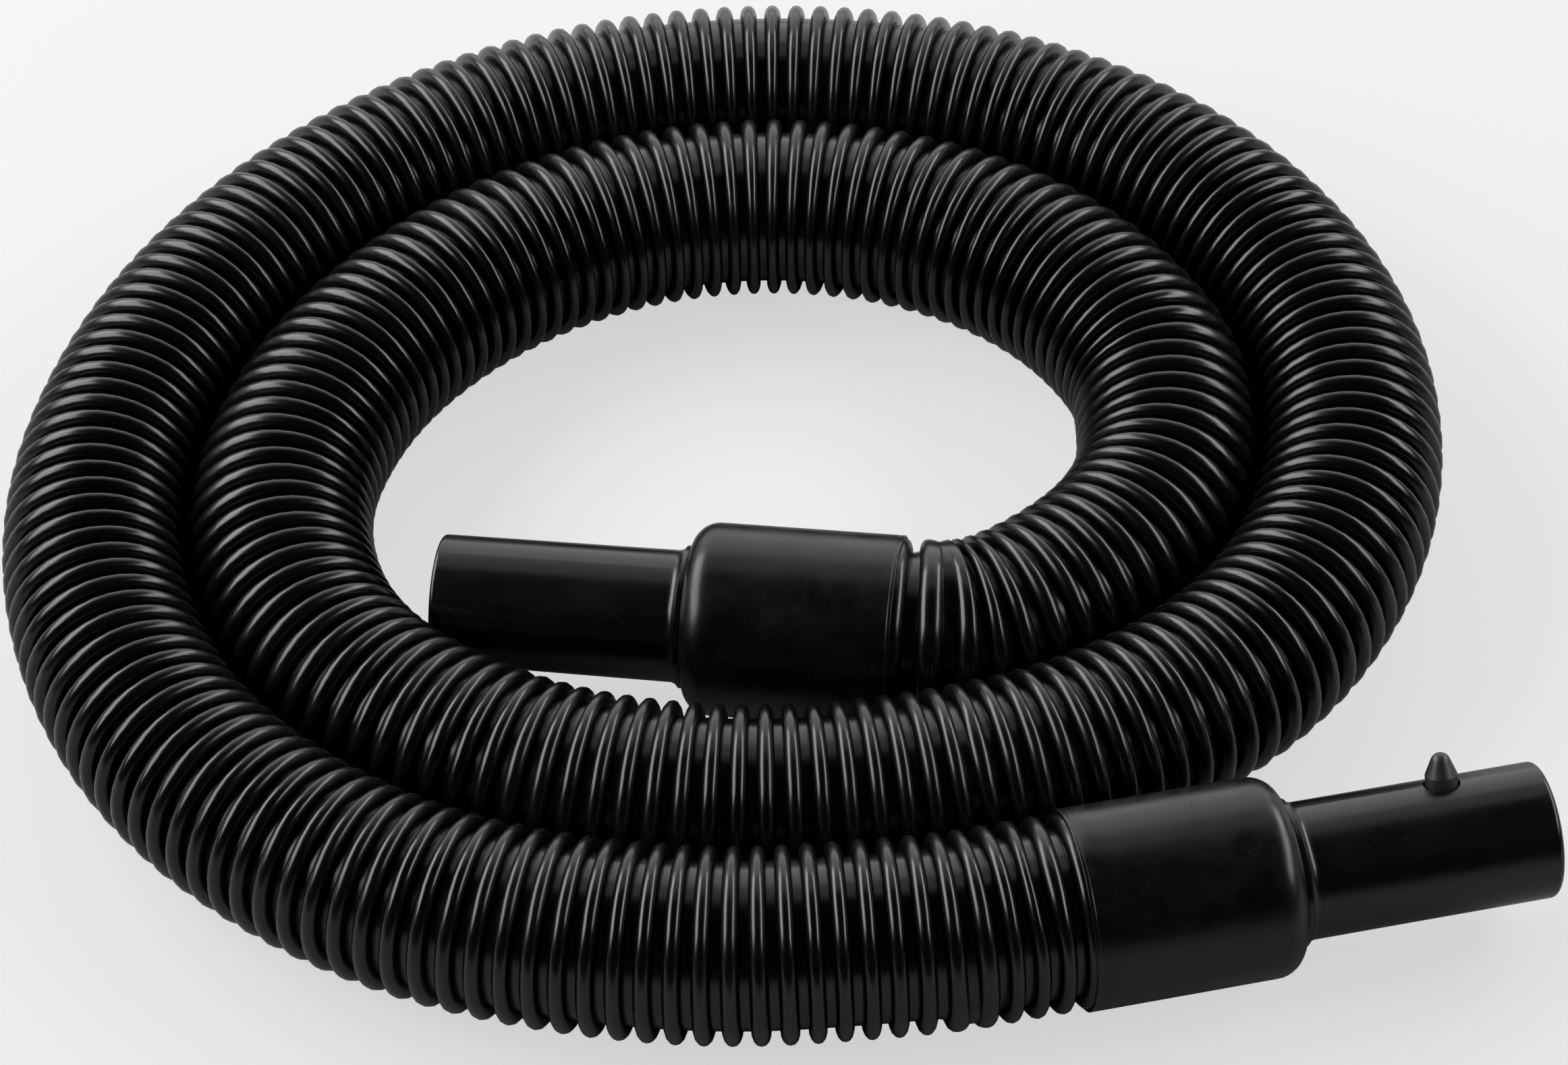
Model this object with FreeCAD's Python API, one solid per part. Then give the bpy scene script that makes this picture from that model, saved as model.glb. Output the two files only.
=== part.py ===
import FreeCAD, Part

import math
import os

# A ribbed suction hose that lies on the floor in about two turns, with a soft cuff and a swivelling
# tube at each end. Millimetres, +Z up, floor at Z = 0. Along each end, a station is the distance
# from the rim of the cuff towards the tip of the tube.

# Hose wall and ribs
HOSE_BORE_RADIUS = 19.0
HOSE_WALL = 0.8
RIB_DEPTH = 3.2
RIB_COUNT = 200
RIB_FLANK = 0.15  # share of the pitch
RIB_CREST = 0.34  # share of the pitch
RIB_SQUEEZE = 0.9  # how far the cuff presses the crests in
RIB_FLAT = 0.5  # how far the crests are flattened where they lie on the floor

# Soft cuff over each hose end
CUFF_LENGTH = 51.5
CUFF_WALL = 1.3
CUFF_END_WALL = 2.0
CUFF_SHOULDER = 6.5
CUFF_MOUTH_DEPTH = 5.0
CUFF_LIP = 0.45
CUFF_RIM_FLARE = 0.1
CUFF_CLEARANCE = 0.1

# Rigid insert that holds the hose end open and square
INSERT_WALL = 1.95
INSERT_REACH = 34.0
INSERT_HEAD = 3.6
INSERT_CLEARANCE = 0.05
INSERT_CHAMFER = 0.8

# Swivel stack between the insert and the end wall of the cuff
RUNNING_CLEARANCE = 0.05
FLANGE_THICKNESS = 4.0
FLANGE_CLEARANCE = 0.4
WASHER_THICKNESS = 0.9
WASHER_CLEARANCE = 0.2
SEAL_SECTION = 1.3
SEAL_RADIUS = 18.5

# Tubes
TUBE_BORE_RADIUS = 14.0
NECK_RADIUS = 16.1
NECK_CLEARANCE = 0.05
COLLAR_GAP = 0.3
COLLAR_RISE = 1.3
COLLAR_BAND = 1.0
COLLAR_COVE = 2.3
TUBE_MOUTH_CHAMFER = 0.6
MACHINE_TUBE_REACH = 62.0
MACHINE_TIP_RADIUS = 16.05
MACHINE_TIP_EDGE = 1.5
MACHINE_TIP_LAND = 18.0  # parallel length ahead of the button
TOOL_TUBE_REACH = 61.5
TOOL_TIP_RADIUS = 15.8
TOOL_TIP_EDGE = 1.0

# Snap button and the bent leaf under it
BUTTON_FROM_TIP = 24.0
BUTTON_RADIUS = 3.8
BUTTON_CLEARANCE = 0.55
BUTTON_SHANK = 2.3  # height of the shank above the tube
BUTTON_CONE = 5.35
BUTTON_TIP_RADIUS = 2.4
BUTTON_FLANGE_RADIUS = 5.0
BUTTON_FLANGE = 1.2
BUTTON_STEM_RADIUS = 1.6
BUTTON_STEM_LENGTH = 1.2
LEAF_WIDTH = 8.0
LEAF_THICKNESS = 0.8
LEAF_CLEARANCE = 0.07
LEAF_BEND_RADIUS = 3.0
LEAF_REACH = 35.0  # from the button to the bend
LEAF_PAD = 5.5  # flat under the button, each way
LEAF_FOOT_BACK = 10.0
LEAF_FOOT_FRONT = 4.0

# Where the two ends lie: middle of the cuff's rim, and in degrees the heading of the tube from +X,
# how far its tip droops and how far it is turned about its own axis, which leans the button back
MACHINE_RIM = (64.2, -152.6)
MACHINE_HEADING = 11.8
MACHINE_DROOP = 0.0
MACHINE_ROLL = -22.0
TOOL_RIM = (27.6, -61.5)
TOOL_HEADING = 171.5
TOOL_DROOP = 1.0
TOOL_ROLL = 0.0
FOOTPRINT_CENTRE = (-8.4, -5.9)

# Route of the hose: control points of one smooth quadratic curve. The ends run straight in their
# cuffs. The turns go clockwise about the middle, a step at a time, at these reaches, and the last
# of the hose curls in to the tool's cuff.
MACHINE_LEADS = (14.0, -12.0, -34.0)  # stations
TOOL_LEADS = (-6.0, 6.0, 24.0)  # stations
TURN_START = -100.0
TURN_STEP = 24.0
TURN_REACHES = (
    167.1, 176.1, 181.6, 178.4, 168.6, 161, 156.9, 153.9, 153.4, 153.2, 150.9, 145.4, 138.3,
    126.8, 116.1, 117.9, 126.4, 133.5, 129.7, 119.5, 111.1, 105.8, 103.2, 101.6, 100.9, 99.2,
)
CURL_POINTS = ((94.9, 7), (93.6, -10.5), (86.8, -27.1), (75.4, -41), (58.5, -54), (45.5, -59.8))
GAP_SAMPLES = 700
SAME_STRETCH = 150.0  # nearer along the hose than this is the same stretch

# Sizes that follow
VALLEY_RADIUS = HOSE_BORE_RADIUS + HOSE_WALL
CREST_RADIUS = VALLEY_RADIUS + RIB_DEPTH
SQUEEZED_RADIUS = CREST_RADIUS - RIB_SQUEEZE
CUFF_BORE_RADIUS = SQUEEZED_RADIUS + CUFF_CLEARANCE
CUFF_RADIUS = CUFF_BORE_RADIUS + CUFF_WALL
CUFF_RIM_RADIUS = CUFF_RADIUS + CUFF_RIM_FLARE
CUFF_MOUTH_RADIUS = CUFF_RIM_RADIUS - CUFF_LIP
HOSE_HEIGHT = CREST_RADIUS - RIB_FLAT
NECK_HOLE_RADIUS = NECK_RADIUS + NECK_CLEARANCE
COLLAR_RADIUS = NECK_RADIUS + COLLAR_RISE

# Stations of the swivel stack, from the end wall of the cuff back to the hose
END_WALL_FACE = CUFF_LENGTH - CUFF_END_WALL
WASHER_FRONT = END_WALL_FACE - RUNNING_CLEARANCE
WASHER_BACK = WASHER_FRONT - WASHER_THICKNESS
FLANGE_FRONT = WASHER_BACK - RUNNING_CLEARANCE
FLANGE_BACK = FLANGE_FRONT - FLANGE_THICKNESS
SEAL_FRONT = FLANGE_BACK - RUNNING_CLEARANCE
INSERT_FACE = SEAL_FRONT - SEAL_SECTION - RUNNING_CLEARANCE
HOSE_END = INSERT_FACE - INSERT_HEAD

# Heights of the button and its leaf, above the axis of the tube
BUTTON_FLANGE_TOP = math.sqrt(TUBE_BORE_RADIUS**2 - BUTTON_FLANGE_RADIUS**2) - LEAF_CLEARANCE
BUTTON_SEAT = BUTTON_FLANGE_TOP - BUTTON_FLANGE
BUTTON_CONE_BASE = NECK_RADIUS + BUTTON_SHANK
BUTTON_TOP = BUTTON_CONE_BASE + BUTTON_CONE
LEAF_FOOT = math.sqrt(TUBE_BORE_RADIUS**2 - (LEAF_WIDTH / 2) ** 2) - LEAF_CLEARANCE
MACHINE_TIP = CUFF_LENGTH + MACHINE_TUBE_REACH
TOOL_TIP = CUFF_LENGTH + TOOL_TUBE_REACH
BUTTON_STATION = MACHINE_TIP - BUTTON_FROM_TIP


def point(station, radius):
    """A point of a profile that is turned about the axis of an end."""
    return FreeCAD.Vector(station, 0, radius)


def polar(centre, radius, angle):
    """A point at an angle in radians about a centre in a profile."""
    return centre + FreeCAD.Vector(radius * math.cos(angle), 0, radius * math.sin(angle))


def outline(*steps):
    """A closed face from points, where a tuple (middle, end) is an arc on from the last point."""
    edges = []
    here = steps[0]
    for step in steps[1:] + (steps[0],):
        if isinstance(step, tuple):
            edges.append(Part.Arc(here, *step).toShape())
            here = step[-1]
        elif not here.isEqual(step, 1e-6):
            edges.append(Part.LineSegment(here, step).toShape())
            here = step
    return Part.Face(Part.Wire(edges))


def turned(*steps, about=FreeCAD.Vector(1, 0, 0), centre=FreeCAD.Vector(0, 0, 0)):
    """A solid turned once round from a profile."""
    return outline(*steps).revolve(centre, about, 360)


def end_place(rim, heading, droop, roll):
    """Where an end lies, with its cuff on the floor."""
    lean = math.radians(droop)
    shoulder = CUFF_RADIUS * math.cos(lean) + (CUFF_LENGTH - CUFF_SHOULDER) * math.sin(lean)
    height = max(CUFF_RIM_RADIUS * math.cos(lean), shoulder)
    spot = FreeCAD.Vector(rim[0], rim[1], height) - FreeCAD.Vector(*FOOTPRINT_CENTRE, 0)
    turn = FreeCAD.Rotation(FreeCAD.Vector(0, 0, 1), heading)
    dip = FreeCAD.Rotation(FreeCAD.Vector(0, 1, 0), droop)
    twist = FreeCAD.Rotation(FreeCAD.Vector(1, 0, 0), roll)
    return FreeCAD.Placement(spot, turn.multiply(dip).multiply(twist))


MACHINE_END = end_place(MACHINE_RIM, MACHINE_HEADING, MACHINE_DROOP, MACHINE_ROLL)
TOOL_END = end_place(TOOL_RIM, TOOL_HEADING, TOOL_DROOP, TOOL_ROLL)


def placed(shape, end):
    """An end's solid, moved from its own axis to where that end lies."""
    out = shape.copy()
    out.Placement = end.multiply(out.Placement)
    return out


def on_axis(end, station):
    """A point on the axis of an end."""
    return end.multVec(FreeCAD.Vector(station, 0, 0))


def on_floor_plan(x, y):
    """Where the middle of the hose is when its flattened ribs lie on the floor."""
    return FreeCAD.Vector(x, y, HOSE_HEIGHT) - FreeCAD.Vector(*FOOTPRINT_CENTRE, 0)


def save(node, shape):
    """Check that a solid is sound, say its size and write its file."""
    if not shape.isValid() or len(shape.Solids) != 1:
        raise ValueError(f"{node} is not one sound solid")
    print(f"{node}: {shape.Volume:.1f} mm3")
    shape.exportStep(f"parts/{node}.step")


def cuff_inner_radius(station):
    """Inner radius of the cuff where its shoulder is rounded inside."""
    fillet = CUFF_SHOULDER - CUFF_END_WALL
    along = station - (CUFF_LENGTH - CUFF_SHOULDER)
    return CUFF_BORE_RADIUS - fillet + math.sqrt(fillet**2 - along**2)


def cuff():
    """Soft sleeve with a flared mouth, a rounded shoulder and a hole for the neck."""
    bend = CUFF_LENGTH - CUFF_SHOULDER
    outer = point(bend, CUFF_RADIUS - CUFF_SHOULDER)
    fillet = CUFF_SHOULDER - CUFF_END_WALL
    inner = point(bend, CUFF_BORE_RADIUS - fillet)
    corner = math.pi / 4
    return turned(
        point(0, CUFF_MOUTH_RADIUS),
        point(0, CUFF_RIM_RADIUS),
        point(bend, CUFF_RADIUS),
        (polar(outer, CUFF_SHOULDER, corner), polar(outer, CUFF_SHOULDER, 0)),
        point(CUFF_LENGTH, NECK_HOLE_RADIUS),
        point(END_WALL_FACE, NECK_HOLE_RADIUS),
        polar(inner, fillet, 0),
        (polar(inner, fillet, corner), polar(inner, fillet, 2 * corner)),
        point(CUFF_MOUTH_DEPTH, CUFF_BORE_RADIUS),
    )


def insert():
    """Spigot in the bore of the hose, with a head that closes on the seal."""
    outside = HOSE_BORE_RADIUS - INSERT_CLEARANCE
    inside = outside - INSERT_WALL
    rim = CUFF_BORE_RADIUS - CUFF_CLEARANCE
    start = HOSE_END - INSERT_REACH
    return turned(
        point(start, inside),
        point(start, outside - INSERT_CHAMFER),
        point(start + INSERT_CHAMFER, outside),
        point(HOSE_END, outside),
        point(HOSE_END, rim),
        point(INSERT_FACE - INSERT_CHAMFER, rim),
        point(INSERT_FACE, rim - INSERT_CHAMFER),
        point(INSERT_FACE, inside),
    )


def washer():
    """Slip washer between the flange of the tube and the end wall of the cuff."""
    outside = cuff_inner_radius(WASHER_FRONT) - WASHER_CLEARANCE
    return turned(
        point(WASHER_BACK, NECK_HOLE_RADIUS),
        point(WASHER_BACK, outside),
        point(WASHER_FRONT, outside),
        point(WASHER_FRONT, NECK_HOLE_RADIUS),
    )


def seal():
    """Round ring between the insert and the flange of the tube."""
    centre = FreeCAD.Vector(SEAL_FRONT - SEAL_SECTION / 2, 0, 0)
    return Part.makeTorus(SEAL_RADIUS, SEAL_SECTION / 2, centre, FreeCAD.Vector(1, 0, 0))


def tube(tip, tip_radius, edge, land=0.0):
    """Tube with the swivel flange at its inner end and a raised ring at the neck.

    It tapers from the ring to the land, which runs parallel up to the rounded edge of the tip.
    """
    collar_back = CUFF_LENGTH + COLLAR_GAP
    band_end = collar_back + COLLAR_BAND
    cove_end = band_end + COLLAR_COVE
    cove_radius = (COLLAR_COVE**2 + COLLAR_RISE**2) / (2 * COLLAR_RISE)
    cove_centre = point(cove_end, NECK_RADIUS + cove_radius)
    half_turn = math.asin(COLLAR_COVE / cove_radius) / 2
    edge_centre = point(tip - edge, tip_radius - edge)
    flange = cuff_inner_radius(FLANGE_FRONT) - FLANGE_CLEARANCE
    return turned(
        point(FLANGE_BACK, TUBE_BORE_RADIUS),
        point(FLANGE_BACK, flange),
        point(FLANGE_FRONT, flange),
        point(FLANGE_FRONT, NECK_RADIUS),
        point(collar_back, NECK_RADIUS),
        point(collar_back, COLLAR_RADIUS),
        point(band_end, COLLAR_RADIUS),
        (
            polar(cove_centre, cove_radius, -math.pi / 2 - half_turn),
            polar(cove_centre, cove_radius, -math.pi / 2),
        ),
        point(tip - edge - land, tip_radius),
        polar(edge_centre, edge, math.pi / 2),
        (polar(edge_centre, edge, math.pi / 4), polar(edge_centre, edge, 0)),
        point(tip, TUBE_BORE_RADIUS + TUBE_MOUTH_CHAMFER),
        point(tip - TUBE_MOUTH_CHAMFER, TUBE_BORE_RADIUS),
    )


def button():
    """Pointed button on its flange, with a stem through the leaf."""
    ball = point(BUTTON_STATION, BUTTON_TOP - BUTTON_TIP_RADIUS)
    base = point(BUTTON_STATION + BUTTON_RADIUS, BUTTON_CONE_BASE)
    to_ball = ball - base
    slope = math.atan2(to_ball.z, -to_ball.x) + math.asin(BUTTON_TIP_RADIUS / to_ball.Length)
    touch = math.pi / 2 - slope
    stem_end = BUTTON_SEAT - BUTTON_STEM_LENGTH

    def at(radius, height):
        return point(BUTTON_STATION + radius, height)

    return turned(
        at(0, stem_end),
        at(BUTTON_STEM_RADIUS, stem_end),
        at(BUTTON_STEM_RADIUS, BUTTON_SEAT),
        at(BUTTON_FLANGE_RADIUS, BUTTON_SEAT),
        at(BUTTON_FLANGE_RADIUS, BUTTON_FLANGE_TOP),
        at(BUTTON_RADIUS, BUTTON_FLANGE_TOP),
        base,
        polar(ball, BUTTON_TIP_RADIUS, touch),
        (
            polar(ball, BUTTON_TIP_RADIUS, (touch + math.pi / 2) / 2),
            polar(ball, BUTTON_TIP_RADIUS, math.pi / 2),
        ),
        about=FreeCAD.Vector(0, 0, 1),
        centre=at(0, 0),
    )


def leaf_arm(knee, height, side):
    """Where one arm of the leaf leaves its bend and where its flat begins, outside and inside."""
    bend = point(BUTTON_STATION - LEAF_REACH, 0)
    middle = point(knee, height - LEAF_THICKNESS / 2) - bend
    turn = math.atan2(middle.z, middle.x) + math.acos(LEAF_BEND_RADIUS / middle.Length)
    marks = []
    for offset, level in ((LEAF_THICKNESS / 2, height), (-LEAF_THICKNESS / 2, height - LEAF_THICKNESS)):
        start = polar(bend, LEAF_BEND_RADIUS + offset, turn)
        run = (level - start.z) * math.tan(turn)
        flat = point(start.x - run, level)
        marks += [point(start.x, side * start.z), point(flat.x, side * flat.z)]
    return marks


def leaf():
    """Bent leaf: the button sits on its upper arm and its lower arm bears on the bore."""
    bend = point(BUTTON_STATION - LEAF_REACH, 0)
    pad_end = BUTTON_STATION + LEAF_PAD
    foot_end = BUTTON_STATION + LEAF_FOOT_FRONT
    top = leaf_arm(BUTTON_STATION - LEAF_PAD, BUTTON_SEAT, 1)
    low = leaf_arm(BUTTON_STATION - LEAF_FOOT_BACK, LEAF_FOOT, -1)
    outside = LEAF_BEND_RADIUS + LEAF_THICKNESS / 2
    inside = LEAF_BEND_RADIUS - LEAF_THICKNESS / 2
    face = outline(
        point(pad_end, BUTTON_SEAT),
        top[1],
        top[0],
        (polar(bend, outside, math.pi), low[0]),
        low[1],
        point(foot_end, -LEAF_FOOT),
        point(foot_end, LEAF_THICKNESS - LEAF_FOOT),
        low[3],
        low[2],
        (polar(bend, inside, math.pi), top[2]),
        top[3],
        point(pad_end, BUTTON_SEAT - LEAF_THICKNESS),
    )
    face.translate(FreeCAD.Vector(0, -LEAF_WIDTH / 2, 0))
    strip = face.extrude(FreeCAD.Vector(0, LEAF_WIDTH, 0))
    hole = Part.makeCylinder(
        BUTTON_STEM_RADIUS + BUTTON_CLEARANCE / 2, BUTTON_SEAT, point(BUTTON_STATION, 0)
    )
    return strip.cut(hole)


def pierced(body):
    """The machine's tube with the hole that the button comes up through."""
    hole = Part.makeCylinder(
        BUTTON_RADIUS + BUTTON_CLEARANCE, 2 * NECK_RADIUS, point(BUTTON_STATION, 0)
    )
    return body.cut(hole)


def route():
    """The centre line of the hose, from its end in the machine's cuff to its end in the tool's."""
    poles = [on_axis(MACHINE_END, station) for station in (HOSE_END,) + MACHINE_LEADS]
    for count, reach in enumerate(TURN_REACHES):
        turn = math.radians(TURN_START - TURN_STEP * count)
        poles.append(on_floor_plan(reach * math.cos(turn), reach * math.sin(turn)))
    poles += [on_floor_plan(*spot) for spot in CURL_POINTS]
    poles += [on_axis(TOOL_END, station) for station in TOOL_LEADS + (HOSE_END,)]
    knots = list(range(len(poles) - 1))
    repeats = [3] + [1] * (len(poles) - 3) + [3]
    curve = Part.BSplineCurve()
    curve.buildFromPolesMultsKnots(poles, repeats, knots, False, 2)
    return curve


def ring(curve, along, radius):
    """A circle square to the route, with its start always on the level side."""
    at = curve.parameterAtDistance(along, curve.FirstParameter)
    tangent = curve.tangent(at)[0]
    level = tangent.cross(FreeCAD.Vector(0, 0, 1))
    circle = Part.Circle(curve.value(at), tangent, radius)
    circle.XAxis = level
    return Part.Wire(circle.toShape())


def crest_radius(from_end):
    """Radius of the crests, which the cuff squeezes past its flared mouth."""
    inside = HOSE_END - from_end
    share = min(max(inside / CUFF_MOUTH_DEPTH, 0), 1)
    return CREST_RADIUS - share * RIB_SQUEEZE


def hose(curve):
    """The ribbed wall of the hose, open from end to end."""
    length = curve.length()
    valley = 1 - 2 * RIB_FLANK - RIB_CREST
    pitch = length / (RIB_COUNT - valley)
    outer = []
    inner = []
    for count in range(RIB_COUNT):
        start = count * pitch
        crest = start + RIB_FLANK * pitch
        crest_end = crest + RIB_CREST * pitch
        end = min(crest_end + RIB_FLANK * pitch, length)
        outer.append(ring(curve, start, VALLEY_RADIUS))
        outer.append(ring(curve, crest, crest_radius(min(crest, length - crest))))
        outer.append(ring(curve, crest_end, crest_radius(min(crest_end, length - crest_end))))
        outer.append(ring(curve, end, VALLEY_RADIUS))
        inner.append(ring(curve, start, HOSE_BORE_RADIUS))
    inner.append(ring(curve, length, HOSE_BORE_RADIUS))
    ribs = Part.makeLoft(outer, True, True)
    bore = Part.makeLoft(inner, True, True)
    half = max(TURN_REACHES) + CREST_RADIUS
    corner = on_floor_plan(-half, -half)
    corner.z = -CREST_RADIUS
    floor = Part.makeBox(2 * half, 2 * half, CREST_RADIUS, corner)
    print(f"hose: {length:.0f} mm long, {RIB_COUNT} ribs, {pitch:.2f} mm from rib to rib")
    return ribs.cut([bore, floor])


def report_route(curve):
    """Print the tightest bend and the least gap between two turns of the hose."""
    length = curve.length()
    spots = []
    tightest = length
    for count in range(GAP_SAMPLES + 1):
        along = length * count / GAP_SAMPLES
        at = curve.parameterAtDistance(along, curve.FirstParameter)
        spots.append((along, curve.value(at)))
        bend = curve.curvature(at)
        if bend * length > 1:
            tightest = min(tightest, 1 / bend)
    gap = min(
        (one - other).Length
        for along, one in spots
        for further, other in spots
        if further - along > SAME_STRETCH
    )
    print(f"tightest bend {tightest:.1f} mm, least gap between turns {gap - 2 * CREST_RADIUS:.2f} mm")


def main():
    os.makedirs("parts", exist_ok=True)
    curve = route()
    report_route(curve)
    save("ribbed_hose", hose(curve))
    for name, end in (("machine", MACHINE_END), ("tool", TOOL_END)):
        save(f"{name}_cuff", placed(cuff(), end))
        save(f"{name}_hose_insert", placed(insert(), end))
        save(f"{name}_thrust_washer", placed(washer(), end))
        save(f"{name}_seal_ring", placed(seal(), end))
    machine_tube = tube(MACHINE_TIP, MACHINE_TIP_RADIUS, MACHINE_TIP_EDGE, MACHINE_TIP_LAND)
    save("machine_tube", placed(pierced(machine_tube), MACHINE_END))
    save("tool_tube", placed(tube(TOOL_TIP, TOOL_TIP_RADIUS, TOOL_TIP_EDGE), TOOL_END))
    save("snap_button", placed(button(), MACHINE_END))
    save("button_leaf_spring", placed(leaf(), MACHINE_END))


main()
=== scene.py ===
"""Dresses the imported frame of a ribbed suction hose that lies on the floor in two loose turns.

Metres, +Z up, floor at Z = 0. Along each end of the hose, a station is the distance from the rim
of its cuff towards the tip of its tube.
"""

import sys

import logging
import math
from collections.abc import Callable, Sequence
from dataclasses import dataclass
from enum import Enum

import bmesh
import bpy
from mathutils import Matrix, Vector, noise


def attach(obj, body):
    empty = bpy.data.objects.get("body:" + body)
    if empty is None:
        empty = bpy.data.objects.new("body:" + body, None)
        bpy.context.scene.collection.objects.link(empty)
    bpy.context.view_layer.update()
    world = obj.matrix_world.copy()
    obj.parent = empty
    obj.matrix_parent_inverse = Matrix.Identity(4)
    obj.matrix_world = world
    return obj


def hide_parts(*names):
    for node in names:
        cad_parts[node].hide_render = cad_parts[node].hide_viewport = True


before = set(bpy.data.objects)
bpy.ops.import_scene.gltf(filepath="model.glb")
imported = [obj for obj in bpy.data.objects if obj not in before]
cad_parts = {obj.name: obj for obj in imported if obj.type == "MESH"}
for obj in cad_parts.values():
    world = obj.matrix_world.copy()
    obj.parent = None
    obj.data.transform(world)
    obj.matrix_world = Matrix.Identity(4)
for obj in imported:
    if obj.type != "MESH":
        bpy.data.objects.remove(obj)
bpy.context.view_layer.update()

LOG = logging.getLogger("suction_hose")
MM = 0.001
Colour = tuple[float, float, float]
Span = tuple[float, float]
Profile = list[tuple[float, float]]
MeshParts = bmesh.types.BMVertSeq | bmesh.types.BMEdgeSeq | bmesh.types.BMFaceSeq
TURN_DIGITS = 4  # turns in radians that agree to this many decimals are the same
WHITE = (1.0, 1.0, 1.0, 1.0)
UP = Vector((0.0, 0.0, 1.0))


class Body(Enum):
    """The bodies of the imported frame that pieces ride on."""

    HOSE = "hose"
    MACHINE_END = "machine_end"
    BUTTON = "button"
    TOOL_END = "tool_end"


class Slot(Enum):
    """The record's material slots."""

    HOSE = "hose_plastic"
    CUFF = "cuff_plastic"
    TUBE = "tube_plastic"
    BUTTON = "button_plastic"
    SPRING = "spring_steel"
    WASHER = "washer_plastic"
    SEAL = "seal_rubber"


# ---------------------------------------------------------------- finishes


class NodeBench:
    """Adds and links the nodes of one material."""

    MIX_COLOURS = (6, 7)  # the colour sockets of a Mix node
    MIX_RESULT = 2

    def __init__(self, tree: bpy.types.NodeTree) -> None:
        """Clear the tree.

        Args:
            tree: The node tree of the material.
        """
        self.tree = tree
        tree.nodes.clear()

    def add(self, kind: str, inputs: dict[str | int, object], **settings: object) -> bpy.types.Node:
        """Add a node.

        Args:
            kind: The node's type name, without its ShaderNode prefix.
            inputs: Values or linked sockets by input name or number.
            **settings: Properties of the node itself.

        Returns:
            The node.
        """
        node = self.tree.nodes.new("ShaderNode" + kind)
        for name, value in settings.items():
            setattr(node, name, value)
        for name, value in inputs.items():
            if isinstance(value, bpy.types.NodeSocket):
                self.tree.links.new(value, node.inputs[name])
            else:
                node.inputs[name].default_value = value
        return node

    def place(self) -> bpy.types.NodeSocket:
        """The Object coordinates of the piece."""
        return self.add("TexCoord", {}).outputs["Object"]

    def cloud(
        self, size: float, detail: float = 3.0, distortion: float = 0.0
    ) -> bpy.types.NodeSocket:
        """A soft random pattern.

        Args:
            size: Width of its patches in metres.
            detail: How many finer layers it has.
            distortion: How far its patches are stirred.

        Returns:
            Its factor, from 0 to 1.
        """
        inputs = {"Vector": self.place(), "Scale": 1 / size}
        inputs |= {"Detail": detail, "Distortion": distortion}
        return self.add("TexNoise", inputs).outputs["Fac"]

    def stretched(
        self, value: bpy.types.NodeSocket, before: Span, after: Span = (0.0, 1.0)
    ) -> bpy.types.NodeSocket:
        """A factor mapped from one range to another and held there.

        Args:
            value: The factor.
            before: Where the first range starts and ends.
            after: What its start and its end become.

        Returns:
            The mapped factor.
        """
        inputs = {"Value": value, "From Min": before[0], "From Max": before[1]}
        inputs |= {"To Min": after[0], "To Max": after[1]}
        return self.add("MapRange", inputs, clamp=True).outputs["Result"]

    def product(self, one: bpy.types.NodeSocket, other: object) -> bpy.types.NodeSocket:
        """One factor times another."""
        return self.add("Math", {0: one, 1: other}, operation="MULTIPLY").outputs[0]

    def mirrored(self) -> bpy.types.NodeSocket:
        """Whether the ray comes off something glossy or clear."""
        ray = self.add("LightPath", {}).outputs
        kinds = {0: ray["Is Glossy Ray"], 1: ray["Is Transmission Ray"]}
        return self.add("Math", kinds, operation="MAXIMUM").outputs[0]

    def blend(
        self, share: bpy.types.NodeSocket, one: Colour, other: Colour
    ) -> bpy.types.NodeSocket:
        """A colour between two others.

        Args:
            share: How much of the second there is.
            one: The first colour.
            other: The second colour.

        Returns:
            The mixed colour.
        """
        node = self.add("Mix", {0: share}, data_type="RGBA")
        for socket, colour in zip(self.MIX_COLOURS, (one, other)):
            node.inputs[socket].default_value = (*colour, 1.0)
        return node.outputs[self.MIX_RESULT]


def new_material(name: str) -> tuple[bpy.types.Material, NodeBench]:
    """Make a material with an empty node tree.

    Args:
        name: The material's name.

    Returns:
        The material and the bench for its nodes.
    """
    material = bpy.data.materials.new(name)
    material.use_nodes = True
    return material, NodeBench(material.node_tree)


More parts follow.
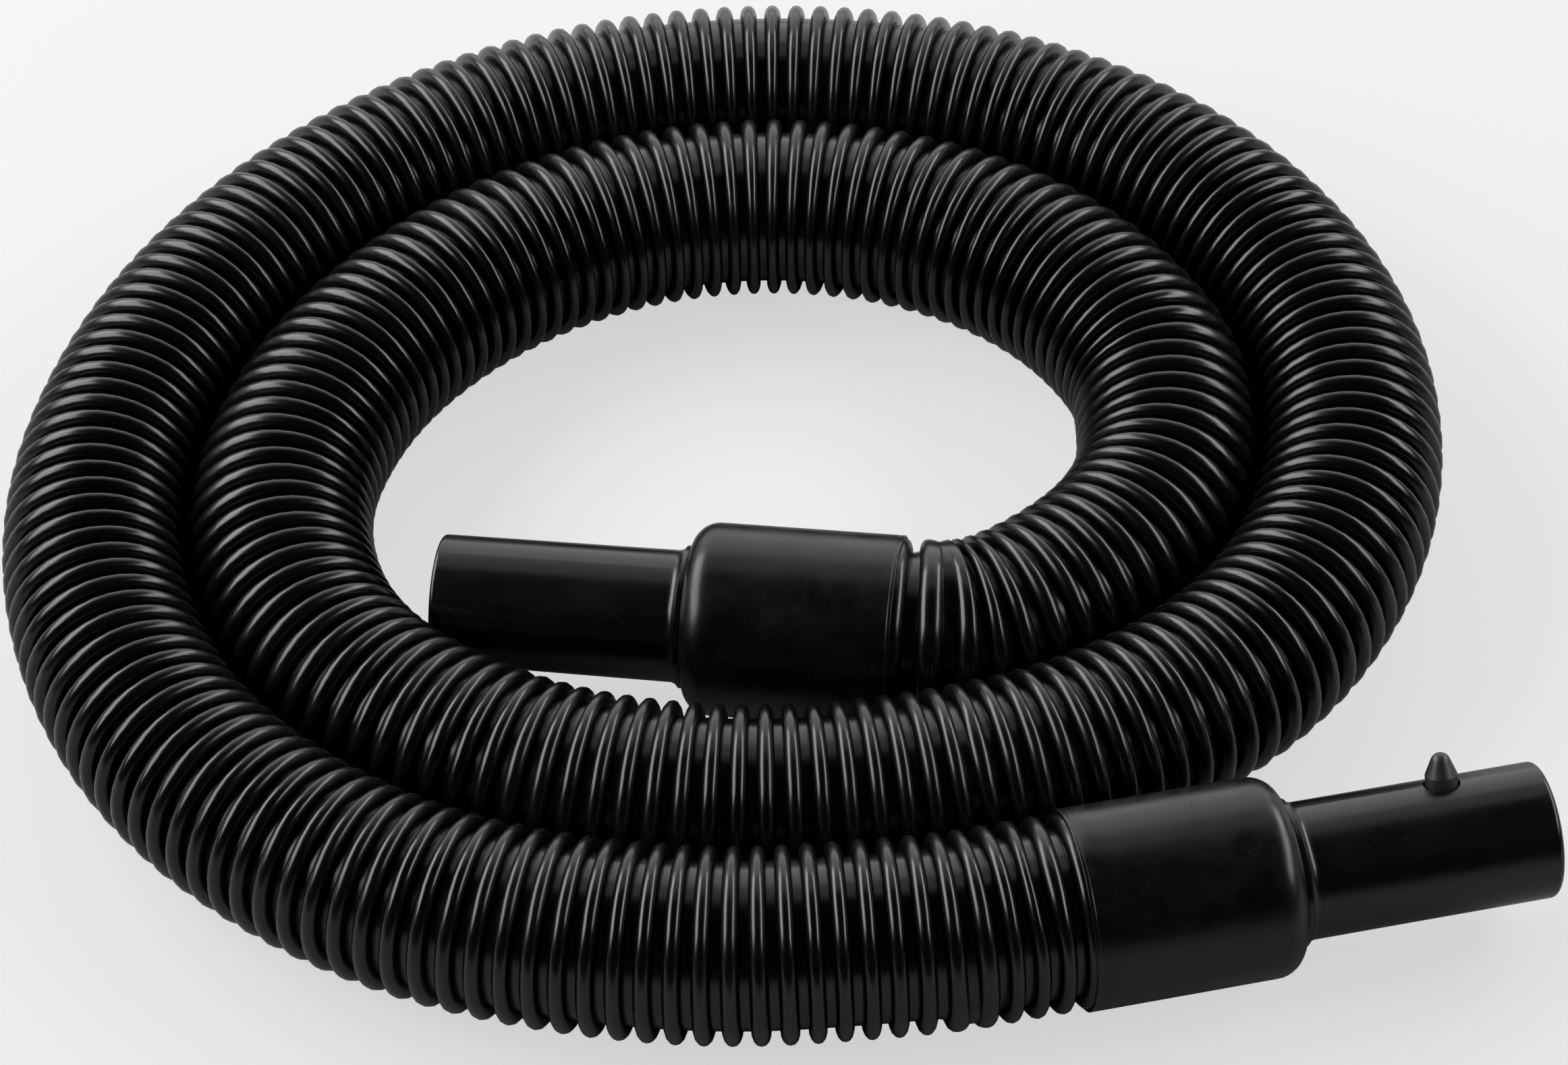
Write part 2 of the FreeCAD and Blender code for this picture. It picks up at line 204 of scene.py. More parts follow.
@dataclass(frozen=True)
class Plastic:
    """A moulded black plastic with clouded gloss, fine grain and a few hairline scuffs."""

    name: str
    colour: Colour
    paler: Colour
    gloss: Span
    cloud: float
    grain: float
    grain_depth: float
    scuffs: float
    specular: float = 0.5
    tone_range: Span = (0.35, 0.65)  # of the clouds, from the darker colour to the paler
    gloss_range: Span = (0.3, 0.7)  # of the clouds, from the glossier end to the duller
    swirl_size: float = 9 * MM  # of the pattern whose middle line the hairlines follow
    swirl: float = 1.2
    swirl_middle: float = 0.5
    hair_width: float = 0.004  # as a difference from the pattern's middle value
    patch_size: float = 14 * MM  # of the patches that have hairlines
    patch_edge: Span = (0.6, 0.66)
    scuff_gain: float = 0.3  # how much rougher a hairline is

    def scuff(self, bench: NodeBench) -> bpy.types.NodeSocket:
        """Hairlines that show in a few patches only.

        Args:
            bench: The bench of the material.

        Returns:
            Their strength.
        """
        lines = bench.cloud(self.swirl_size, detail=1.0, distortion=self.swirl)
        offset = {0: lines, 1: self.swirl_middle}
        ridge = bench.add("Math", offset, operation="SUBTRACT").outputs[0]
        ridge = bench.add("Math", {0: ridge}, operation="ABSOLUTE").outputs[0]
        hairs = bench.stretched(ridge, (0.0, self.hair_width), (1.0, 0.0))
        sparse = bench.stretched(bench.cloud(self.patch_size, detail=1.0), self.patch_edge)
        return bench.product(bench.product(hairs, sparse), self.scuffs)

    def material(self) -> bpy.types.Material:
        """Build the material.

        Returns:
            The material, with its own node tree.
        """
        material, bench = new_material(self.name)
        clouds = bench.cloud(self.cloud)
        fine = bench.cloud(self.grain, detail=2.0)
        tone = bench.stretched(clouds, self.tone_range)
        base = bench.blend(tone, self.colour, self.paler)
        rough = bench.stretched(clouds, self.gloss_range, self.gloss)
        scuffed = {0: self.scuff(bench), 1: self.scuff_gain, 2: rough}
        rough = bench.add("Math", scuffed, operation="MULTIPLY_ADD").outputs[0]
        bump = bench.add("Bump", {"Strength": 1.0, "Distance": self.grain_depth, "Height": fine})
        shader = bench.add(
            "BsdfPrincipled",
            {
                "Base Color": base,
                "Roughness": rough,
                "Normal": bump.outputs["Normal"],
                "Specular IOR Level": self.specular,
            },
        )
        bench.add("OutputMaterial", {"Surface": shader.outputs["BSDF"]})
        return material


@dataclass(frozen=True)
class Steel:
    """Bright rolled spring steel with fine lines along the strip."""

    name: str
    colour: Colour
    gloss: Span
    line: float
    heading: float
    stretch: float = 0.04  # scale of the pattern along the strip, where it is 1 across
    gloss_range: Span = (0.3, 0.7)
    line_depth: float = 0.02 * MM
    line_strength: float = 0.4

    def material(self) -> bpy.types.Material:
        """Build the material.

        Returns:
            The material, with its own node tree.
        """
        material, bench = new_material(self.name)
        turn = (0.0, 0.0, -self.heading)
        turned = bench.add("Mapping", {"Vector": bench.place(), "Rotation": turn}).outputs
        scale = (self.stretch, 1.0, 1.0)
        drawn = bench.add("Mapping", {"Vector": turned["Vector"], "Scale": scale}).outputs
        inputs = {"Vector": drawn["Vector"], "Scale": 1 / self.line, "Detail": 2.0}
        lines = bench.add("TexNoise", inputs).outputs["Fac"]
        rough = bench.stretched(lines, self.gloss_range, self.gloss)
        relief = {"Strength": self.line_strength, "Distance": self.line_depth, "Height": lines}
        bump = bench.add("Bump", relief)
        shader = bench.add(
            "BsdfPrincipled",
            {
                "Base Color": (*self.colour, 1.0),
                "Metallic": 1.0,
                "Roughness": rough,
                "Normal": bump.outputs["Normal"],
            },
        )
        bench.add("OutputMaterial", {"Surface": shader.outputs["BSDF"]})
        return material


HOSE_GLOSS = Plastic(
    "hose_gloss_black",
    colour=(0.0009, 0.0009, 0.001),
    paler=(0.0018, 0.0018, 0.002),
    gloss=(0.2, 0.28),
    cloud=24 * MM,
    grain=2.6 * MM,
    grain_depth=0.009 * MM,
    scuffs=0.4,
    specular=0.4,
)
CUFF_SATIN = Plastic(
    "cuff_satin_black",
    colour=(0.0009, 0.0009, 0.001),
    paler=(0.0022, 0.0022, 0.0024),
    gloss=(0.25, 0.34),
    cloud=7 * MM,
    grain=0.7 * MM,
    grain_depth=0.02 * MM,
    scuffs=1.0,
    specular=0.34,
)
TUBE_SATIN = Plastic(
    "tube_satin_black",
    colour=(0.0008, 0.0008, 0.0009),
    paler=(0.0016, 0.0016, 0.0018),
    gloss=(0.22, 0.28),
    cloud=16 * MM,
    grain=0.5 * MM,
    grain_depth=0.008 * MM,
    scuffs=0.7,
    specular=0.4,
)
BUTTON_SATIN = Plastic(
    "button_satin_grey_black",
    colour=(0.010, 0.010, 0.0105),
    paler=(0.016, 0.016, 0.0165),
    gloss=(0.38, 0.46),
    cloud=4 * MM,
    grain=0.5 * MM,
    grain_depth=0.02 * MM,
    scuffs=0.5,
)
WASHER_NATURAL = Plastic(
    "washer_natural_plastic",
    colour=(0.62, 0.60, 0.55),
    paler=(0.70, 0.68, 0.63),
    gloss=(0.40, 0.52),
    cloud=6 * MM,
    grain=0.6 * MM,
    grain_depth=0.01 * MM,
    scuffs=0.2,
)
SEAL_RUBBER = Plastic(
    "seal_soft_rubber",
    colour=(0.014, 0.014, 0.014),
    paler=(0.022, 0.022, 0.021),
    gloss=(0.55, 0.70),
    cloud=5 * MM,
    grain=0.4 * MM,
    grain_depth=0.02 * MM,
    scuffs=0.3,
)
MACHINE_HEADING = math.radians(11.8)
TOOL_HEADING = math.radians(171.5)
SPRING_BRIGHT = Steel(
    "spring_bright_steel",
    colour=(0.58, 0.57, 0.55),
    gloss=(0.22, 0.38),
    line=0.4 * MM,
    heading=MACHINE_HEADING,
)


# ---------------------------------------------------------------- shared shaping


def put(name: str, data: bpy.types.ID) -> bpy.types.Object:
    """Put a new object in the scene.

    Args:
        name: Its name.
        data: Its mesh, curve, lamp or camera.

    Returns:
        The object, at the origin.
    """
    item = bpy.data.objects.new(name, data)
    bpy.context.scene.collection.objects.link(item)
    return item


def turned_place(point: Vector) -> tuple[float, float, float]:
    """The turn round the X axis, the distance along it and the distance from it."""
    turn = round(math.atan2(point.y, point.z), TURN_DIGITS)
    return turn, point.x, math.hypot(point.y, point.z)


def set_order(parts: MeshParts, place: Callable[[object], Sequence[float]]) -> None:
    """Put the parts of a mesh in an order that is the same at each run.

    Args:
        parts: Its corners, edges or faces.
        place: What a part is put in order by.
    """
    ranks = {part: rank for rank, part in enumerate(sorted(parts, key=place))}
    parts.sort(key=ranks.get)
    parts.index_update()


def turned_mesh(profile: Profile, steps: int) -> bmesh.types.BMesh:
    """Turn a closed profile once round the X axis.

    Args:
        profile: Points as distance along the axis and radius, in metres.
        steps: How many steps the turn has.

    Returns:
        The turned mesh, in a set order and with its faces pointing outwards.
    """
    mesh = bmesh.new()
    line = [mesh.verts.new((along, 0.0, radius)) for along, radius in profile]
    edges = [mesh.edges.new(pair) for pair in zip(line, line[1:] + line[:1])]
    bmesh.ops.spin(
        mesh,
        geom=line + edges,
        cent=(0.0, 0.0, 0.0),
        axis=(1.0, 0.0, 0.0),
        angle=math.tau,
        steps=steps,
        use_merge=True,
    )
    bmesh.ops.recalc_face_normals(mesh, faces=mesh.faces)
    set_order(mesh.verts, lambda vert: turned_place(vert.co))
    for parts in (mesh.edges, mesh.faces):
        set_order(parts, lambda part: sorted(vert.index for vert in part.verts))
    return mesh


def piece_from(
    mesh: bmesh.types.BMesh, name: str, body: Body, finish: bpy.types.Material
) -> bpy.types.Object:
    """Make a finished mesh a piece of the scene.

    Args:
        mesh: The mesh, already in its place. It is freed.
        name: The name of the piece.
        body: The body it rides on.
        finish: Its material.

    Returns:
        The piece.
    """
    data = bpy.data.meshes.new(name)
    mesh.to_mesh(data)
    mesh.free()
    data.shade_smooth()
    data.materials.append(finish)
    piece = put(name, data)
    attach(piece, body.value)
    LOG.info("%s: %d faces on %s", name, len(data.polygons), body.value)
    return piece


@dataclass(frozen=True)
class EndPlace:
    """Where one end of the hose lies, with its turns in radians."""

    rim: tuple[float, float, float]
    heading: float
    droop: float

    def matrix(self) -> Matrix:
        """The move from the end's own axis to its place."""
        turn = Matrix.Rotation(self.heading, 4, "Z") @ Matrix.Rotation(self.droop, 4, "Y")
        return Matrix.Translation(self.rim) @ turn

    def at(self, station: float) -> Vector:
        """The point on the end's axis at a station."""
        return self.matrix() @ Vector((station, 0.0, 0.0))


MACHINE_PLACE = EndPlace(rim=(0.0726, -0.1467, 0.0236), heading=MACHINE_HEADING, droop=0.0)
TOOL_PLACE = EndPlace(
    rim=(0.0360, -0.0556, 0.0242818), heading=TOOL_HEADING, droop=math.radians(1.0)
)


# ---------------------------------------------------------------- hose


@dataclass(frozen=True)
class HoseRoute:
    """The centre line of the hose: control points of one smooth curve.

    Turns are in degrees, reaches and points in metres from the centre of the coil.
    """

    height: float = 0.0225
    centre: tuple[float, float] = (0.0084, 0.0059)
    machine_stations: tuple[float, ...] = (0.0395, 0.014, -0.012, -0.034)
    tool_stations: tuple[float, ...] = (-0.006, 0.006, 0.024, 0.0395)
    turn_start: float = -100.0
    turn_step: float = 24.0
    turn_reaches: tuple[float, ...] = (
        0.1646, 0.1733, 0.1789, 0.176, 0.1672, 0.1605, 0.1564, 0.153, 0.1533, 0.1531, 0.1501,
        0.1443, 0.1369, 0.1258, 0.1171, 0.1182, 0.1249, 0.1325, 0.1295, 0.1195, 0.1112, 0.1062,
        0.1035, 0.1024, 0.1025, 0.1021,
    )
    curl: tuple[tuple[float, float], ...] = (
        (0.0972, 0.0072), (0.0949, -0.0108), (0.0868, -0.0279),
        (0.0747, -0.0422), (0.0575, -0.0552), (0.0443, -0.0607),
    )
    order: int = 3
    samples: int = 48  # points that are read from each span of the curve

    def poles(self) -> list[Vector]:
        """The control points, from the machine's cuff to the tool's.

        Returns:
            The points in order.
        """
        points = [MACHINE_PLACE.at(station) for station in self.machine_stations]
        flat = []
        for count, reach in enumerate(self.turn_reaches):
            turn = math.radians(self.turn_start - self.turn_step * count)
            flat.append((reach * math.cos(turn), reach * math.sin(turn)))
        for x, y in flat + list(self.curl):
            points.append(Vector((x + self.centre[0], y + self.centre[1], self.height)))
        points += [TOOL_PLACE.at(station) for station in self.tool_stations]
        return points

    def line(self) -> list[Vector]:
        """Points read from the smooth curve, close together.

        Returns:
            The points in order.
        """
        curve = bpy.data.curves.new("hose_route", "CURVE")
        curve.dimensions = "3D"
        spline = curve.splines.new("NURBS")
        poles = self.poles()
        spline.points.add(len(poles) - 1)
        for spot, pole in zip(spline.points, poles):
            spot.co = (*pole, 1.0)
        spline.order_u = self.order
        spline.use_endpoint_u = True
        spline.resolution_u = self.samples
        guide = put("hose_route", curve)
        bpy.context.view_layer.update()
        data = bpy.data.meshes.new_from_object(guide)
        points = [vert.co.copy() for vert in data.vertices]
        bpy.data.meshes.remove(data)
        bpy.data.objects.remove(guide)
        bpy.data.curves.remove(curve)
        return points


class RouteFollower:
    """Gives the place and direction of the route at any length along it."""

    def __init__(self, points: list[Vector]) -> None:
        """Measure the route.

        Args:
            points: Points along the route, close together.
        """
        self.points = points
        self.marks = [0.0]
        for one, other in zip(points, points[1:]):
            self.marks.append(self.marks[-1] + (other - one).length)
        self.length = self.marks[-1]

    def at(self, along: float) -> Vector:
        """The point at a length along the route, straight on past its ends.

        Args:
            along: The length from the start.

        Returns:
            The point.
        """
        low, high = 0, len(self.marks) - 1
        while high - low > 1:
            middle = (low + high) // 2
            if self.marks[middle] <= along:
                low = middle
            else:
                high = middle
        share = (along - self.marks[low]) / (self.marks[high] - self.marks[low])
        return self.points[low].lerp(self.points[high], share)

    def frame(self, along: float, reach: float = 1.5 * MM) -> Matrix:
        """The frame at a length along the route: X along it, Y level and Z up.

        Args:
            along: The length from the start.
            reach: How far either side the direction is taken over.

        Returns:
            The frame's matrix.
        """
        tangent = (self.at(along + reach) - self.at(along - reach)).normalized()
        level = UP.cross(tangent).normalized()
        upward = tangent.cross(level)
        matrix = Matrix((tangent, level, upward)).transposed().to_4x4()
        matrix.translation = self.at(along)
        return matrix


@dataclass(frozen=True)
class RibFlaw:
    """A spot where two neighbouring ribs ran together or bent in moulding."""

    valley: int  # counted from the machine's end
    around: float  # middle of the spot in degrees, 0 away from the coil's centre, 90 on top
    spread: float  # degrees either side
    fill: float  # share of the rib's depth that closes the valley
    lean: float = 0.0  # how far the ribs are bent along the hose
    reach: float = 1.4  # pitches either side

    def bend(self, along: float, turn: float, pitch: float) -> tuple[float, float]:
        """How far this spot fills and bends the wall at one place.

        Args:
            along: Distance along the hose.
            turn: Angle round the hose, in degrees.
            pitch: Pitch of the ribs.

        Returns:
            The filled share of the rib's depth, and the shift along the hose.
        """
        off = (along / pitch - self.valley) / self.reach
        aside = ((turn - self.around + 180) % 360 - 180) / self.spread
        if abs(off) >= 1 or abs(aside) >= 1:
            return 0.0, 0.0
        window = (1 - aside * aside) ** 2
        filled = self.fill * window * (1 - off * off) ** 4
        shifted = self.lean * window * (1 - off * off) ** 2
        return filled, shifted


@dataclass(frozen=True)
class RibbedHose:
    """The blow-moulded hose wall, ribbed from end to end and open through its bore."""

    bore_radius: float = 19.0 * MM
    valley_radius: float = 19.5 * MM
    rib_depth: float = 3.5 * MM
    rib_pitch: float = 6.04 * MM
    squeeze: float = 0.9 * MM
    mouth_depth: float = 5.0 * MM
    cuff_reach: float = 39.5 * MM
    steps: int = 36
    rib_share: float = 0.70  # share of the pitch that the rounded rib takes up
    rib_fullness: float = 2.2  # 2 is a half ellipse, more is squarer
    rib_steps: tuple[float, ...] = (-1.0, -0.95, -0.76, -0.42, 0.0, 0.42, 0.76, 0.95, 1.0)
    bore_step: int = 2  # pitches between the rings of the bore
    tolerance: float = 0.01 * MM
    frame_digits: int = 7  # places that agree to this many decimals share a frame
    flaws: tuple[RibFlaw, ...] = (
        RibFlaw(valley=11, around=-42.0, spread=62.0, fill=0.6, lean=-0.5 * MM),
        RibFlaw(valley=8, around=75.0, spread=60.0, fill=0.0, lean=1.1 * MM, reach=1.1),
        RibFlaw(valley=168, around=62.0, spread=48.0, fill=0.5, lean=0.5 * MM),
        RibFlaw(valley=277, around=118.0, spread=55.0, fill=1.0, lean=-0.4 * MM),
    )

    def crest(self, from_end: float) -> float:
        """Height of the crests above the valleys, which the cuff presses in past its mouth.

        Args:
            from_end: Distance from the nearer end of the hose.

        Returns:
            The height.
        """
        inside = self.cuff_reach - from_end
        share = min(max(inside / self.mouth_depth, 0.0), 1.0)
        return self.rib_depth - share * self.squeeze

    def profile(self, length: float) -> Profile:
        """The outside from end to end, then the bore back again.

        Args:
            length: Length of the hose.

        Returns:
            Points as distance along the hose and radius.
        """
        count = round(length / self.rib_pitch)
        pitch = length / count
        points = []
        for rib in range(count):
            middle = (rib + 0.5) * pitch
            height = self.crest(min(middle, length - middle))
            for step in self.rib_steps:
                rise = height * (1 - abs(step) ** self.rib_fullness) ** (1 / self.rib_fullness)
                along = middle + step * self.rib_share * pitch / 2
                points.append((along, self.valley_radius + rise))
        points.append((length, self.valley_radius))
        points.append((length, self.bore_radius))
        rings = [rib for rib in range(count - 1, 0, -1) if rib % self.bore_step == 0]
        points += [(rib * pitch, self.bore_radius) for rib in rings]
        points.append((0.0, self.bore_radius))
        return points

    def mar(self, mesh: bmesh.types.BMesh, pitch: float) -> None:
        """Give the straight wall its few moulding flaws.

        Args:
            mesh: The ribbed wall, still straight.
            pitch: Pitch of the ribs.
        """
        for vert in mesh.verts:
            radius = math.hypot(vert.co.y, vert.co.z)
            if radius < self.valley_radius - self.tolerance:
                continue
            turn = math.degrees(math.atan2(vert.co.z, vert.co.y))
            for flaw in self.flaws:
                fill, shift = flaw.bend(vert.co.x, turn, pitch)
                if fill or shift:
                    depth = self.valley_radius + self.rib_depth - radius
                    grown = (radius + fill * depth) / radius
                    vert.co = (vert.co.x + shift, vert.co.y * grown, vert.co.z * grown)
                    break

    def mark_feet(self, mesh: bmesh.types.BMesh) -> None:
        """Keep the corners crisp where the ribs rise from the valleys.

        Args:
            mesh: The ribbed wall, still straight.
        """
        for edge in mesh.edges:
            one, other = edge.verts
            above = math.hypot(one.co.y, one.co.z) - self.valley_radius
            if abs(above) < self.tolerance and abs(one.co.x - other.co.x) < self.tolerance:
                edge.smooth = False

    def build(self, finish: bpy.types.Material) -> tuple[bpy.types.Object, RouteFollower]:
        """Turn the ribbed wall straight, then lay it along the route on the floor.

        Args:
            finish: Its material.

        Returns:
            The hose and the route that it follows.
        """
        route = RouteFollower(HoseRoute().line())
        mesh = turned_mesh(self.profile(route.length), self.steps)
        self.mark_feet(mesh)
        self.mar(mesh, route.length / round(route.length / self.rib_pitch))
        frames: dict[float, Matrix] = {}
        for vert in mesh.verts:
            along = round(vert.co.x, self.frame_digits)
            if along not in frames:
                frames[along] = route.frame(along)
            vert.co = frames[along] @ Vector((0.0, vert.co.y, vert.co.z))
            vert.co.z = max(vert.co.z, 0.0)
        hose = piece_from(mesh, "suction_hose", Body.HOSE, finish)
        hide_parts("ribbed_hose")
        return hose, route


# ---------------------------------------------------------------- ends


@dataclass(frozen=True)
class Cuff:
    """The soft sleeve over a hose end, with its trimmed mouth and rounded shoulder."""

    name: str
    node: str
    place: EndPlace
    seed: float
    length: float = 51.5 * MM
    radius: float = 23.5 * MM
    rim_radius: float = 23.6 * MM
    mouth_radius: float = 23.15 * MM
    bore_radius: float = 22.2 * MM
    mouth_depth: float = 5.0 * MM
    shoulder: float = 6.5 * MM
    end_wall: float = 2.0 * MM
    hole_radius: float = 16.15 * MM
    hole_bevel: Span = (0.2 * MM, 0.25 * MM)  # along the axis, and outwards
    flare: Span = (1.2 * MM, 0.2 * MM)  # how far in it ends, and how much narrower
    lip: float = 0.18 * MM  # bevel of the rim's edges
    band: float = 1.0 * MM  # width of the plain band at the rim
    groove: Span = (1.15 * MM, 1.45 * MM)
    groove_depth: float = 0.09 * MM
    side_start: Span = (1.6 * MM, 0.005 * MM)  # station, and depth below the rim
    side_taper: float = 0.1 * MM
    side_shares: tuple[float, ...] = (0.15, 0.35, 0.55, 0.75, 0.93)
    trim_reach: float = 2.5 * MM  # how far from the rim the uneven trimming shows
    trim_depth: float = 0.22 * MM
    trim_mean: float = 0.6  # share of the depth that is cut where the noise is zero
    trim_waves: float = 2.6
    steps: int = 96
    arc_steps: int = 10

    def arc(self, centre: tuple[float, float], radius: float, rising: bool) -> Profile:
        """A quarter round of the profile.

        Args:
            centre: Its centre, as station and radius from the axis.
            radius: Its own radius.
            rising: Whether it runs from the end face back to the side.

        Returns:
            Its points.
        """
        turns = [math.pi / 2 * step / self.arc_steps for step in range(self.arc_steps + 1)]
        if not rising:
            turns.reverse()
        along, out = centre
        return [(along + radius * math.cos(turn), out + radius * math.sin(turn)) for turn in turns]

    def profile(self) -> Profile:
        """The closed section of the sleeve.

        Returns:
            Points as station and radius.
        """
        bend = self.length - self.shoulder
        inner = self.shoulder - self.end_wall
        points = [
            (self.mouth_depth, self.bore_radius),
            (self.flare[0], self.mouth_radius - self.flare[1]),
            (self.lip, self.mouth_radius),
            (0.0, self.mouth_radius + 0.5 * self.lip),
            (0.0, self.rim_radius - self.lip),
            (self.lip, self.rim_radius),
            (self.band, self.rim_radius),
            (self.groove[0], self.rim_radius - self.groove_depth),
            (self.groove[1], self.rim_radius - self.groove_depth),
            (self.side_start[0], self.rim_radius - self.side_start[1]),
        ]
        for share in self.side_shares:
            points.append((share * bend, self.rim_radius - self.side_taper * share))
        points += self.arc((bend, self.radius - self.shoulder), self.shoulder, rising=False)
        points += [
            (self.length, self.hole_radius + self.hole_bevel[1]),
            (self.length - self.hole_bevel[0], self.hole_radius),
            (self.length - self.end_wall, self.hole_radius),
        ]
        points += self.arc((bend, self.bore_radius - inner), inner, rising=True)
        return points

    def build(self, finish: bpy.types.Material) -> bpy.types.Object:
        """Turn the sleeve, trim its mouth a little unevenly and put it in its place.

        Args:
            finish: Its material.

        Returns:
            The sleeve.
        """
        mesh = turned_mesh(self.profile(), self.steps)
        for vert in mesh.verts:
            around = Vector((0.0, vert.co.y, vert.co.z)).normalized()
            trim = max(0.0, 1 - vert.co.x / self.trim_reach)
            wander = noise.noise(around * self.trim_waves + Vector((self.seed, 0.0, 0.0)))
            vert.co.x += self.trim_depth * trim * (self.trim_mean + wander)
        mesh.transform(self.place.matrix())
        piece = piece_from(mesh, self.name, Body.HOSE, finish)
        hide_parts(self.node)
        return piece


@dataclass(frozen=True)
class KeptNode:
    """A node of the frame whose shape stays and which gets its finish here."""

    node: str
    slot: Slot

    def dress(self, finish: bpy.types.Material) -> bpy.types.Object:
        """Give the node its finish.

        Args:
            finish: Its material.

        Returns:
            The node's object.
        """
        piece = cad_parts[self.node]
        for place in piece.material_slots:
            place.material = finish
        LOG.info("%s: kept, with finish %s", self.node, finish.name)
        return piece


# ---------------------------------------------------------------- studio


@dataclass(frozen=True)
class Viewpoint:
    """Where the photograph was taken from."""

    target: tuple[float, float, float] = (0.0084, 0.0059, 0.0)
    elevation: float = 43.5
    distance: float = 1.35
    focal: float = 7908.5  # in pixels of the photograph
    width: float = 2324.0
    roll: float = -1.0
    sensor: float = 36.0

    def build(self) -> None:
        """Set the camera up and make it the scene's own."""
        lean = math.radians(self.elevation)
        offset = Vector((0.0, -math.cos(lean), math.sin(lean))) * self.distance
        data = bpy.data.cameras.new("camera")
        data.sensor_fit = "HORIZONTAL"
        data.sensor_width = self.sensor
        data.lens = self.focal / self.width * self.sensor
        camera = put("camera", data)
        tilt = Matrix.Rotation(math.pi / 2 - lean, 4, "X")
        look = tilt @ Matrix.Rotation(math.radians(self.roll), 4, "Z")
        camera.matrix_world = Matrix.Translation(Vector(self.target) + offset) @ look
        bpy.context.scene.camera = camera


@dataclass(frozen=True)
class Softbox:
    """A rectangular studio lamp."""

    name: str
    spot: tuple[float, float, float]
    size: tuple[float, float]
    radiance: float
    aim: tuple[float, float, float] = (0.0, 0.0, 0.0)

    def build(self) -> None:
        """Hang the lamp and aim it."""
        data = bpy.data.lights.new(self.name, "AREA")
        data.shape = "RECTANGLE"
        data.size, data.size_y = self.size
        data.energy = self.radiance * math.pi * self.size[0] * self.size[1]
        lamp = put(self.name, data)
        lamp.location = self.spot
        towards = Vector(self.aim) - Vector(self.spot)
        lamp.rotation_euler = towards.to_track_quat("-Z", "Y").to_euler()


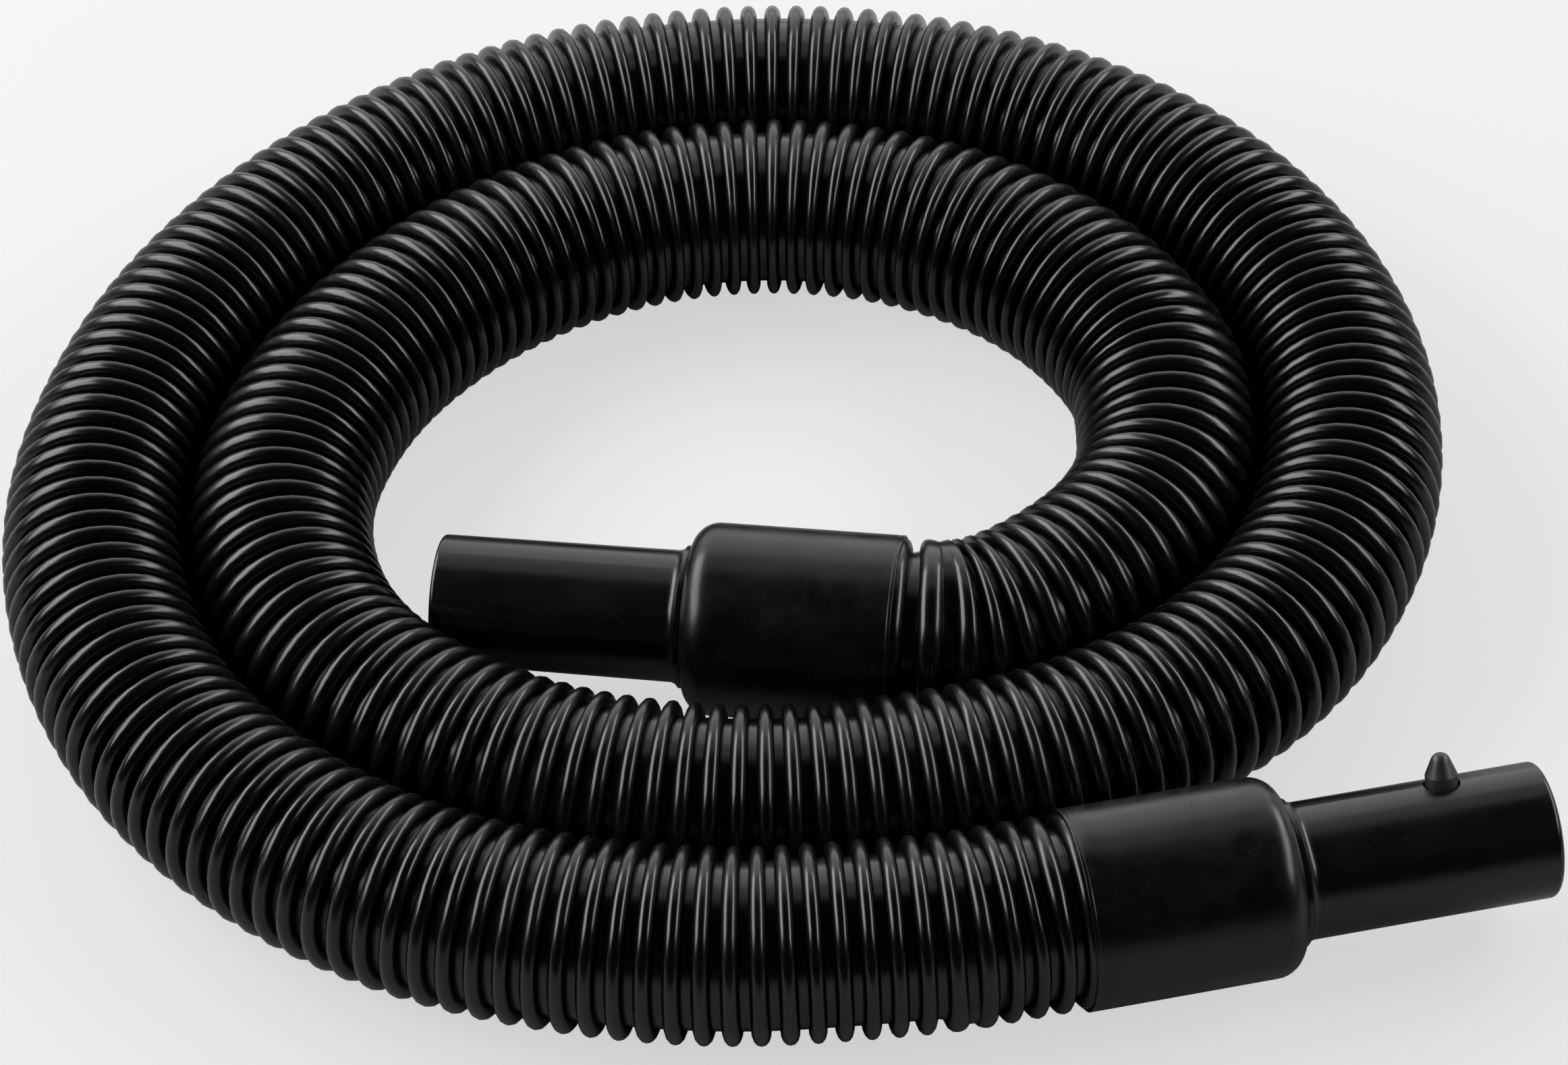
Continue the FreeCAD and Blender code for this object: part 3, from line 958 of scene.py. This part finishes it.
@dataclass(frozen=True)
class Studio:
    """The pale floor, the lamps and the plain surroundings."""

    floor_size: float = 8.0
    floor_colour: Colour = (0.42, 0.42, 0.42)
    floor_roughness: float = 0.5
    floor_specular: float = 0.2
    floor_lift: float = 0.62  # share of plain white in what is seen of the floor
    fill: float = 0.022
    horizon: Span = (0.02, 0.2)  # height over which the white that is mirrored fades out
    behind: Span = (-0.1, 0.3)  # depth over which it fades in, from the front to the back
    lamps: tuple[Softbox, ...] = (
        Softbox("back_lamp", spot=(0.0, 1.07, 0.62), size=(1.5, 1.05), radiance=1.6),
        Softbox("top_lamp", spot=(0.0, 0.5, 1.15), size=(1.5, 0.5), radiance=0.7),
        Softbox("left_lamp", spot=(-1.08, 0.22, 0.82), size=(1.9, 0.75), radiance=7.6),
        Softbox("right_lamp", spot=(1.12, 0.22, 0.76), size=(1.9, 0.42), radiance=7.2),
    )

    def floor(self) -> None:
        """Lay the floor."""
        mesh = bmesh.new()
        bmesh.ops.create_grid(mesh, x_segments=1, y_segments=1, size=self.floor_size / 2)
        data = bpy.data.meshes.new("floor")
        mesh.to_mesh(data)
        mesh.free()
        material, bench = new_material("floor_pale")
        shader = bench.add(
            "BsdfPrincipled",
            {
                "Base Color": (*self.floor_colour, 1.0),
                "Roughness": self.floor_roughness,
                "Specular IOR Level": self.floor_specular,
            },
        ).outputs["BSDF"]
        white = bench.add("Emission", {"Color": WHITE, "Strength": 1.0}).outputs["Emission"]
        lift = bench.product(bench.add("LightPath", {}).outputs["Is Camera Ray"], self.floor_lift)
        mixed = bench.add("MixShader", {0: lift, 1: shader, 2: white})
        bench.add("OutputMaterial", {"Surface": mixed.outputs["Shader"]})
        data.materials.append(material)
        put("floor", data)

    def surroundings(self) -> None:
        """Give the world a dim fill, and white for the camera and low behind for mirrors."""
        world = bpy.data.worlds.new("surroundings")
        world.use_nodes = True
        bpy.context.scene.world = world
        bench = NodeBench(world.node_tree)
        sky = bench.add("TexCoord", {}).outputs["Generated"]
        sides = bench.add("SeparateXYZ", {"Vector": sky}).outputs
        low = bench.stretched(sides["Z"], self.horizon, (1.0, 0.0))
        band = bench.product(low, bench.stretched(sides["Y"], self.behind))
        direct = bench.add("LightPath", {}).outputs["Is Camera Ray"]
        mirrored = bench.product(bench.mirrored(), band)
        seen = bench.add("Math", {0: direct, 1: mirrored}, operation="MAXIMUM").outputs[0]
        strength = bench.stretched(seen, (0.0, 1.0), (self.fill, 1.0))
        back = bench.add("Background", {"Color": WHITE, "Strength": strength})
        bench.add("OutputWorld", {"Surface": back.outputs["Background"]})

    def build(self) -> None:
        """Lay the floor, hang the lamps and set the surroundings."""
        self.floor()
        self.surroundings()
        for lamp in self.lamps:
            lamp.build()
        bpy.context.scene.view_settings.view_transform = "Standard"


# ---------------------------------------------------------------- assembly


def main() -> None:
    """Build the studio, the hose and its two ends."""
    logging.basicConfig(level=logging.INFO, format="%(name)s %(message)s", stream=sys.stdout)
    Viewpoint().build()
    hose, route = RibbedHose().build(HOSE_GLOSS.material())
    cuff_finish = CUFF_SATIN.material()
    tube_finish = TUBE_SATIN.material()
    Cuff("machine_cuff_sleeve", "machine_cuff", MACHINE_PLACE, seed=3.1).build(cuff_finish)
    tool_cuff = Cuff("tool_cuff_sleeve", "tool_cuff", TOOL_PLACE, seed=8.4).build(cuff_finish)
    kept = {
        "machine_tube": (Slot.TUBE, tube_finish),
        "tool_tube": (Slot.TUBE, tube_finish),
        "snap_button": (Slot.BUTTON, BUTTON_SATIN.material()),
        "button_leaf_spring": (Slot.SPRING, SPRING_BRIGHT.material()),
        "machine_hose_insert": (Slot.CUFF, cuff_finish),
        "tool_hose_insert": (Slot.CUFF, cuff_finish),
    }
    washer = WASHER_NATURAL.material()
    seal = SEAL_RUBBER.material()
    for end in ("machine", "tool"):
        kept[f"{end}_thrust_washer"] = (Slot.WASHER, washer)
        kept[f"{end}_seal_ring"] = (Slot.SEAL, seal)
    nodes = {name: KeptNode(name, slot).dress(finish) for name, (slot, finish) in kept.items()}
    Studio().build()


if __name__ == "__main__":
    main()
